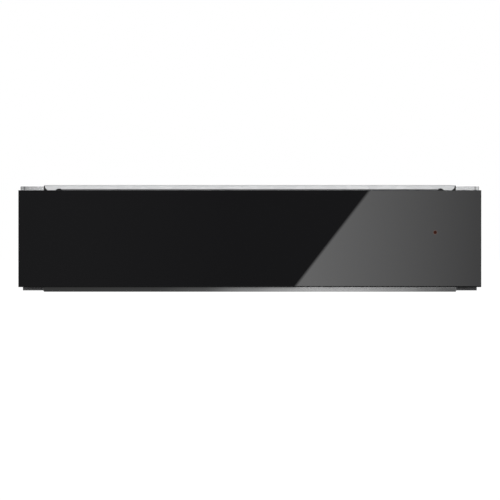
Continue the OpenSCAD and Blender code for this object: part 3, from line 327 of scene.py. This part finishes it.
def red_plastic(name, color, roughness, **sockets):
    """Clear red plastic with small prisms."""
    s = Surface(name, color, roughness=roughness, **sockets)
    prisms = s.cells(1100.0)["Distance"]
    s.stain(shade(color, 0.45), prisms, 0.6)
    s.bump(prisms, 0.1, 0.05 * MM)
    return s.material


def heater():
    """Steel tube with heat tint in patches."""
    s = Surface("heater_sheath", (0.22, 0.17, 0.14), metallic=0.9, roughness=0.42)
    s.stain((0.10, 0.10, 0.14), s.noise(45.0, 4.0), 1.0, 0.4, 0.6)
    s.stain((0.32, 0.24, 0.16), s.noise(160.0), 0.5, 0.4, 0.8)
    s.bump(s.noise(900.0, 4.0), 0.12, 0.05 * MM)
    return s.material


def laminated():
    """Stacked motor sheets."""
    s = Surface("core_steel", (0.14, 0.145, 0.155), metallic=0.7, roughness=0.5)
    layers = s.bands("Y", 310.0, 0.4)
    s.tint(layers, (0.07, 0.07, 0.078))
    s.bump(layers, 0.5, 0.1 * MM)
    return s.material


def winding():
    """Enamelled wire, turn by turn."""
    s = Surface("copper_coil", (0.42, 0.19, 0.075), metallic=0.1, roughness=0.42)
    turns = s.bands("X", 420.0, 0.8)
    s.tint(turns, (0.24, 0.09, 0.035))
    s.bump(turns, 0.6, 0.15 * MM)
    return s.material


def ribbed_mat():
    """Soft mat with small dots between its ribs."""
    s = Surface("mat_rubber", (0.035, 0.036, 0.04), roughness=0.62)
    dots = s.cells(420.0, s.scaled(1.0, 1.0, 0.0))["Distance"]
    s.stain((0.055, 0.056, 0.06), s.noise(20.0, 5.0), 0.5, 0.4, 0.8)
    s.rough(s.noise(300.0), 0.52, 0.72)
    s.bump(dots, 0.35, 0.3 * MM)
    return s.material


SURFACES = {
    "galvanised_steel": galvanised(),
    "base_steel": base_steel(),
    "stile_steel": stile_steel(),
    "stainless_steel": brushed("stainless_steel", (0.62, 0.62, 0.623), 0.3, metallic=0.7),
    "zinc_hardware": plated("zinc_hardware", (0.60, 0.61, 0.60), 0.3),
    "runner_steel": plated("runner_steel", (0.55, 0.56, 0.57), 0.32, stains=0.5, metallic=0.6),
    "ball_steel": plated("ball_steel", (0.75, 0.75, 0.76), 0.1, stains=0.1),
    "carrier_steel": powder("carrier_steel", (0.045, 0.046, 0.05)),
    "black_glass": black_glass(),
    "tape": moulded("tape", (0.012, 0.012, 0.012), 0.8, texture=1500.0, strength=0.4),
    "seal_rubber": moulded("seal_rubber", (0.105, 0.106, 0.109), 0.62, texture=700.0,
                           strength=0.15),
    "black_rubber": moulded("black_rubber", (0.025, 0.025, 0.026), 0.6, texture=800.0,
                            strength=0.2),
    "mat_rubber": ribbed_mat(),
    "white_plastic": moulded("white_plastic", (0.72, 0.71, 0.67), 0.42),
    "dark_plastic": moulded("dark_plastic", (0.05, 0.05, 0.052), 0.4),
    "phenolic": moulded("phenolic", (0.55, 0.52, 0.44), 0.5),
    "control_plastic": moulded("control_plastic", (0.02, 0.02, 0.022), 0.34, texture=1200.0,
                               strength=0.15),
    "red_lens": red_plastic("red_lens", (0.032, 0.007, 0.003), 0.5, Specular_IOR_Level=0.1),
    "rocker_plastic": red_plastic("rocker_plastic", (0.22, 0.02, 0.013), 0.22,
                                  Coat_Weight=0.15),
    "cable_sheath": moulded("cable_sheath", (0.06, 0.06, 0.062), 0.55),
    "core_steel": laminated(),
    "copper_coil": winding(),
    "spring_steel": plated("spring_steel", (0.5, 0.5, 0.51), 0.25),
    "heater_sheath": heater(),
    "wheel_plastic": moulded("wheel_plastic", (0.72, 0.69, 0.60), 0.5),
}
ink = moulded("panel_ink", (0.018, 0.018, 0.02), 0.5, texture=1500.0, strength=0.05)
white_ink = moulded("white_ink", (0.75, 0.75, 0.73), 0.5, texture=1500.0, strength=0.05)

slots = {row["node"]: row["material_slot"] for row in frame["record"]["subparts"]}
for name, cad in nodes.items():
    cad.data.materials.clear()
    cad.data.materials.append(SURFACES[slots[name]])

# Folded sheet and moulded parts have rounded corners: a fine bevel, in mm, on the CAD meshes'
# own edges. Before it, triangles that lie flat within FLAT degrees join into whole faces, and
# edges sharper than SHARP degrees get it. The glass has its bevel in the CAD.
FLAT, SHARP, SAME_POINT = 0.3, 40, 1e-6
BEVELS = {
    "top_cover": 0.3, "base_pan": 0.25, "left_side_panel": 0.25, "right_side_panel": 0.25,
    "rear_panel": 0.15, "left_front_stile": 0.2, "right_front_stile": 0.2,
    "front_carrier": 0.35, "front_inner_panel": 0.2, "front_seal": 0.5, "drawer_tray": 0.3,
    "tray_front_wall": 0.3, "control_panel": 0.3, "anti_slip_mat": 0.3, "terminal_box": 0.8,
    "push_latch_housing": 0.6, "thermostat_knob": 0.15, "switch_frame": 0.3,
    "switch_rocker": 0.3, "fan_duct": 0.3, "wiring_channel": 0.2, "fan_motor_coil": 1.0,
}
for name, width in BEVELS.items():
    weld = nodes[name].modifiers.new("weld", "WELD")
    weld.merge_threshold = SAME_POINT
    planes = nodes[name].modifiers.new("planes", "DECIMATE")
    planes.decimate_type = "DISSOLVE"
    planes.angle_limit = math.radians(FLAT)
    bevel = nodes[name].modifiers.new("edges", "BEVEL")
    bevel.width = width * MM
    bevel.segments = 2
    bevel.limit_method = "ANGLE"
    bevel.angle_limit = math.radians(SHARP)
    bevel.harden_normals = True
    bevel.use_clamp_overlap = True


# Pieces ------------------------------------------------------------------------------------


def piece(name, body, slot_name, faces, material=None):
    """A mesh from lists of corner points, one list for each face, riding on a CAD body."""
    mesh = bpy.data.meshes.new(name)
    bm = bmesh.new()
    for points in faces:
        bm.faces.new([bm.verts.new(point) for point in points])
    bmesh.ops.remove_doubles(bm, verts=bm.verts, dist=1e-7)
    bmesh.ops.recalc_face_normals(bm, faces=bm.faces)
    bm.to_mesh(mesh)
    bm.free()
    made = bpy.data.objects.new(name, mesh)
    bpy.context.scene.collection.objects.link(made)
    mesh.materials.append(material or SURFACES[slot_name])
    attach(made, body)
    return made


def level(x, y, z):
    return x, y, z


def slab(outline, low, high, place=level):
    """Faces of a plate: an outline between two heights, which a function puts in place."""
    top = [place(u, v, high) for u, v in outline]
    bottom = [place(u, v, low) for u, v in outline]
    faces = [top, bottom[::-1]]
    for i in range(len(outline)):
        k = (i + 1) % len(outline)
        faces.append([bottom[i], bottom[k], top[k], top[i]])
    return faces


def stroke(points, width):
    """Outline of a thin line along some points."""
    left, right = [], []
    for i, (x, y) in enumerate(points):
        before = points[max(i - 1, 0)]
        after = points[min(i + 1, len(points) - 1)]
        dx, dy = after[0] - before[0], after[1] - before[1]
        size = math.hypot(dx, dy)
        nx, ny = -dy / size * width / 2, dx / size * width / 2
        left.append((x + nx, y + ny))
        right.append((x - nx, y - ny))
    return left + right[::-1]


def arc(x, y, rx, ry, start, end, count):
    """Points on an arc of an ellipse."""
    turns = (start + (end - start) * i / count for i in range(count + 1))
    return [(x + rx * math.cos(turn), y + ry * math.sin(turn)) for turn in turns]


# Numerals as strokes in a box NUMERAL_WIDE wide and 1 high.
NUMERAL_WIDE = 0.6
NUMERALS = {
    "0": [arc(0.3, 0.5, 0.3, 0.5, 0.0, 2 * math.pi, 20)],
    "1": [[(0.08, 0.74), (0.36, 1.0)], [(0.34, 1.0), (0.34, 0.0)]],
    "2": [arc(0.3, 0.72, 0.28, 0.28, math.pi, -0.6, 14),
          [(0.54, 0.58), (0.02, 0.04)], [(0.0, 0.04), (0.6, 0.04)]],
    "3": [arc(0.28, 0.75, 0.26, 0.25, 2.6, -1.4, 12), arc(0.28, 0.27, 0.3, 0.27, 1.4, -2.6, 12)],
    "4": [[(0.44, 0.0), (0.44, 1.0)], [(0.44, 1.0), (0.0, 0.32)], [(0.0, 0.3), (0.6, 0.3)]],
}
INK_T = 0.04 * MM

# The knob rests with its pointer to the front, at 0, and turns clockwise to 4. Between two
# numerals, which are NUMERAL_STEPS apart, there are ticks.
REST_AT, TURN = 270, 270
SCALE_STEPS, NUMERAL_STEPS = 24, 6
NUMERAL_GAP, NUMERAL_H, NUMERAL_LINE = 1.55 * MM, 1.9 * MM, 0.3 * MM
TICK_GAPS, TICK_LINE = (0.9 * MM, 1.8 * MM), 0.25 * MM


def beside_knob(turn, gap):
    """A point on the panel, with a gap between it and the knob."""
    radius = (knob_high.x - knob_low.x) / 2 + gap
    return knob.x + radius * math.cos(turn), knob.y + radius * math.sin(turn)


def thermostat_scale():
    """Numerals and ticks, printed on the panel round the thermostat's knob."""
    faces = []
    for step in range(SCALE_STEPS + 1):
        turn = math.radians(REST_AT - TURN * step / SCALE_STEPS)
        if step % NUMERAL_STEPS:
            lines = [[beside_knob(turn, gap) for gap in TICK_GAPS]]
            width = TICK_LINE
        else:
            x, y = beside_knob(turn, NUMERAL_GAP)
            lines = [[(x + (u - NUMERAL_WIDE / 2) * NUMERAL_H, y + (v - 0.5) * NUMERAL_H)
                      for u, v in line] for line in NUMERALS[str(step // NUMERAL_STEPS)]]
            width = NUMERAL_LINE
        for line in lines:
            faces += slab(stroke(line, width), panel_top, panel_top + INK_T)
    piece("thermostat_scale", "drawer", "control_plastic", faces, ink)


def knob_pointer():
    """A white inlay in the groove of the knob's top."""
    half, inner, painted_outer_shade = 0.45 * MM, 2.5 * MM, 9.5 * MM
    floor_z, face_z = knob_high.z - 0.62 * MM, knob_high.z - 0.1 * MM
    outline = [(knob.x + u, knob.y + v)
               for u, v in ((-half, -painted_outer_shade), (half, -painted_outer_shade), (half, -inner), (-half, -inner))]
    piece("knob_pointer", "thermostat", "white_plastic", slab(outline, floor_z, face_z), white_ink)


# The switch's rocker lies tilted about its axis under the panel. Its two slopes rise outwards.
ROCKER_TILT = math.radians(9)
ROCKER_AXIS_DEPTH, ROCKER_MIDDLE, ROCKER_SLOPE = 1.5 * MM, 2.2 * MM, 1.4 / 7.2
MARK_AT, MARK_R, BAR_HALF, MARK_LINE = 4.3 * MM, 1.25 * MM, 1.5 * MM, 0.45 * MM


def on_rocker(u, v, height):
    """A point at a height over the rocker's face."""
    rise = ROCKER_MIDDLE + abs(u) * ROCKER_SLOPE + height
    sine, cosine = math.sin(ROCKER_TILT), math.cos(ROCKER_TILT)
    return (switch.x + u * cosine - rise * sine, switch.y + v,
            panel_top - ROCKER_AXIS_DEPTH + u * sine + rise * cosine)


def rocker_marks():
    """I and O on the two slopes of the rocker."""
    bar = [(MARK_AT, -BAR_HALF), (MARK_AT, BAR_HALF)]
    circle = arc(-MARK_AT, 0.0, MARK_R, MARK_R, 0.0, 2 * math.pi, 24)
    faces = slab(stroke(bar, MARK_LINE), 0.0, INK_T, on_rocker)
    faces += slab(stroke(circle, MARK_LINE), 0.0, INK_T, on_rocker)
    piece("rocker_marks", "rocker", "white_plastic", faces, white_ink)


SPRING_WIRE, SPRING_TURNS, PLUNGER_TRAVEL = 0.5 * MM, 7, 4 * MM
COIL_POINTS, WIRE_POINTS = 24, 8


def latch_coil():
    """The latch's coil spring, in place of the CAD's spring."""
    spring_low, spring_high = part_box("latch_spring")
    spring_mid = (spring_low + spring_high) / 2
    spring_length = spring_high.y - spring_low.y
    radius = (spring_high.x - spring_low.x) / 2 - SPRING_WIRE
    along = Vector((0.0, 1.0, 0.0))
    sides = [2 * math.pi * k / WIRE_POINTS for k in range(WIRE_POINTS)]
    rings = []
    for i in range(SPRING_TURNS * COIL_POINTS + 1):
        share = i / (SPRING_TURNS * COIL_POINTS)
        turn = 2 * math.pi * SPRING_TURNS * share
        out = Vector((math.cos(turn), 0.0, math.sin(turn)))
        y = spring_low.y + SPRING_WIRE + (spring_length - 2 * SPRING_WIRE) * share
        centre = Vector((spring_mid.x, y, spring_mid.z)) + out * radius
        rings.append([centre + (out * math.cos(a) + along * math.sin(a)) * SPRING_WIRE
                      for a in sides])
    faces = [rings[0], rings[-1]]
    for one, two in zip(rings, rings[1:]):
        for k in range(WIRE_POINTS):
            following = (k + 1) % WIRE_POINTS
            faces.append([one[k], one[following], two[following], two[k]])
    spring = piece("latch_coil", "casing", "spring_steel", faces)
    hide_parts("latch_spring")
    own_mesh(spring)


# Dark blocks as painted shade behind the cover's lip, right side, in mm: from x to x, y to y and z
# to z.
SHADE_BLOCKS = (
    (261.5, stile_inner / MM - 0.05, -248.98, -244, 130.9, 136.45),  # the lip's end
    (264.45, 265.35, -244, -210.1, 134.15, 136.45),                  # along the cut beside it
    (240.6, 251.0, -248.98, -246.0, 130.8, 134.4),                   # the relief notch
)


# Painted shade: dark blocks put in the lip's gaps, where there is only shade.
def painted_shade_blocks():
    faces = []
    for side in (-1, 1):
        for x0, x1, y0, y1, z0, z1 in SHADE_BLOCKS:
            corners = [(side * x * MM, y * MM) for x, y in ((x0, y0), (x1, y0), (x1, y1), (x0, y1))]
            faces += slab(corners, z0 * MM, z1 * MM)
    piece("painted_shade_blocks", "casing", "tape", faces)


thermostat_scale()
knob_pointer()
rocker_marks()
latch_coil()
painted_shade_blocks()


# Stage -------------------------------------------------------------------------------------


def plain_object(name, corners):
    mesh = bpy.data.meshes.new(name)
    mesh.from_pydata(corners, [], [tuple(range(len(corners)))])
    made = bpy.data.objects.new(name, mesh)
    bpy.context.scene.collection.objects.link(made)
    return made


def emitter(name, strength=1.0):
    material = bpy.data.materials.new(name)
    material.use_nodes = True
    graph = Graph(material.node_tree)
    graph.tree.nodes.clear()
    glow = graph.add("Emission", Strength=strength)
    graph.add("OutputMaterial", Surface=glow.outputs[0])
    return material, graph, glow


FLOOR_HALF, FLOOR_Z = 60.0, -0.5 * MM
floor = plain_object("floor", [(x * FLOOR_HALF, y * FLOOR_HALF, FLOOR_Z)
                               for x, y in ((-1, -1), (1, -1), (1, 1), (-1, 1))])
floor.data.materials.append(emitter("white_floor", 1.05)[0])
floor.visible_glossy = floor.visible_diffuse = False

# The world: plain white behind the object, and a soft studio that is brighter above. The
# studio's points are (rise, strength), where rise goes from -1, straight down, to 1.
STUDIO = ((-1.0, 0.05), (-0.3, 0.05), (0.2, 0.5), (0.6, 0.85), (0.85, 0.6), (1.0, 0.35))
WHITE = (1, 1, 1, 1)
world = bpy.data.worlds.new("studio")
bpy.context.scene.world = world
world.use_nodes = True
world.node_tree.nodes.clear()
w = Graph(world.node_tree)
rays = w.add("LightPath")
rise = w.add("SeparateXYZ", Vector=w.add("TexCoord").outputs["Generated"]).outputs["Z"]
glossy = w.add("Background", Color=WHITE, Strength=w.curve(rise, STUDIO))
diffuse = w.add("Background", Color=WHITE, Strength=w.remap(rise, 0.22, 0.5, -0.2, 0.3))
plain = w.add("Background", Color=WHITE, Strength=1.0)


def either(fac, off, on):
    node = w.add("MixShader", Fac=fac)
    w.put(off.outputs[0], node.inputs[1])
    w.put(on.outputs[0], node.inputs[2])
    return node


lit = either(rays.outputs["Is Glossy Ray"], diffuse, glossy)
w.add("OutputWorld", Surface=either(rays.outputs["Is Camera Ray"], lit, plain).outputs[0])

AIM = Vector((0, -0.1, 0.07))


def area_light(name, place, size, energy, mirrored=True):
    data = bpy.data.lights.new(name, "AREA")
    data.shape = "DISK"
    data.size = size
    data.energy = energy
    made = bpy.data.objects.new(name, data)
    bpy.context.scene.collection.objects.link(made)
    made.location = place
    made.rotation_mode = "QUATERNION"
    made.rotation_quaternion = (AIM - Vector(place)).to_track_quat("-Z", "Y")
    made.visible_camera = False
    made.visible_glossy = mirrored


area_light("front", (0.15, -4.6, 1.3), size=2.6, energy=218, mirrored=False)
area_light("key", (-2.2, -1.2, 2.8), size=1.6, energy=30)
area_light("rim", (1.6, 2.8, 2.0), size=1.4, energy=14)

# The camera looks straight at the middle of the photo. In the plane of the glass, SCALE is a
# pixel's size, and ORIGIN is the pixel of x = 0 and z = 0, counted from the upper left corner.
PHOTO = 500
ORIGIN_X, ORIGIN_Y = 249.82, 291.8
SCALE = 1.2873 * MM
DISTANCE = 20.0
SENSOR = 36.0
eye = Vector(((PHOTO / 2 - ORIGIN_X) * SCALE, glass_y - DISTANCE,
              (ORIGIN_Y - PHOTO / 2) * SCALE))

# A card stands CARD before the glass and is seen in mirror images alone. Its upper part is
# dark on the left, with a faint haze, and has a window that fades to the right, behind a
# slanted edge. Its part below SILL is what the base's flange mirrors: a soft light, which is
# dimmed to a share of itself close under the glass. EDGE, WINDOW, SILL and FLANGE go by the
# photo's pixels, and the haze by metres on the card.
CARD = 3.0
CARD_LEFT, CARD_RIGHT, CARD_LOW, CARD_HIGH = -2.2, 1.9, -0.5, 0.17
EDGE_LOW, EDGE_HIGH, EDGE_SOFT = (295.2, 286.7), (369.45, 190.7), 2.7 * MM
WINDOW_LEFT, WINDOW_RIGHT, WINDOW_STRENGTH = 310, 479, (2.72, 1.0)
HAZE_X, HAZE_STRENGTH = (-0.25, -0.02), (0.045, 0.0)
SILL, SILL_SOFT = 286.0, 0.3 * MM
UNDER_GLASS_Z, UNDER_GLASS_SHARE, UNDER_GLASS_ADDED = (-2.8 * MM, -0.8 * MM), 0.25, 0.035
# The soft light from left to right, as (pixel, strength).
FLANGE = ((60, 0.082), (150, 0.096), (200, 0.165), (250, 0.45), (280, 0.64), (300, 0.74),
          (320, 0.78), (350, 0.76), (400, 0.52), (430, 0.3), (450, 0.2), (500, 0.1))


def on_card(px, py=0.0):
    """Where the mirror image of a point of the front, in the photo's pixels, falls on the card."""
    grow = 1 + CARD / DISTANCE
    return (eye.x + (px - PHOTO / 2) * SCALE * grow, eye.z + (PHOTO / 2 - py) * SCALE * grow)


card_y = glass_y - CARD
card = plain_object("mirrored_window", [
    (CARD_LEFT, card_y, CARD_LOW), (CARD_RIGHT, card_y, CARD_LOW),
    (CARD_RIGHT, card_y, CARD_HIGH), (CARD_LEFT, card_y, CARD_HIGH)])
card_material, g, glow = emitter("mirrored_window")
spot = g.add("SeparateXYZ", Vector=g.add("TexCoord").outputs["Object"])
across, up = spot.outputs["X"], spot.outputs["Z"]
(x0, z0), (x1, z1) = on_card(*EDGE_LOW), on_card(*EDGE_HIGH)
slant = (x1 - x0) / (z1 - z0)
past_edge = g.math("SUBTRACT", across, g.math("MULTIPLY_ADD", up, slant, x0 - z0 * slant))
fading = g.remap(across, *WINDOW_STRENGTH, on_card(WINDOW_LEFT)[0], on_card(WINDOW_RIGHT)[0])
window = g.math("MULTIPLY", g.remap(past_edge, 0.0, 1.0, -EDGE_SOFT, EDGE_SOFT), fading)
upper = g.math("ADD", window, g.remap(across, *HAZE_STRENGTH, *HAZE_X))
flange = g.curve(across, [(on_card(px)[0], strength) for px, strength in FLANGE])
near_glass = g.remap(up, 0.0, 1.0, z0 + UNDER_GLASS_Z[0], z0 + UNDER_GLASS_Z[1])
dimmed = g.math("MULTIPLY", flange,
                g.math("MULTIPLY_ADD", near_glass, UNDER_GLASS_SHARE - 1.0, 1.0))
lower = g.math("ADD", dimmed, g.math("MULTIPLY", near_glass, UNDER_GLASS_ADDED))
sill = on_card(0, SILL)[1]
under_sill = g.remap(up, 1.0, 0.0, sill - SILL_SOFT, sill)
g.put(g.math("ADD", g.math("MULTIPLY", under_sill, lower),
             g.math("MULTIPLY", g.math("SUBTRACT", 1.0, under_sill), upper)),
      glow.inputs["Strength"])
card.data.materials.append(card_material)
card.visible_camera = card.visible_diffuse = card.visible_shadow = False

camera_data = bpy.data.cameras.new("camera")
camera_data.sensor_width = SENSOR
camera_data.lens = SENSOR * DISTANCE / (PHOTO * SCALE)
camera_data.clip_start, camera_data.clip_end = 0.1, 200.0
camera = bpy.data.objects.new("camera", camera_data)
bpy.context.scene.collection.objects.link(camera)
camera.location = eye
camera.rotation_euler = (math.pi / 2, 0, 0)
bpy.context.scene.camera = camera
bpy.context.scene.view_settings.view_transform = "Standard"
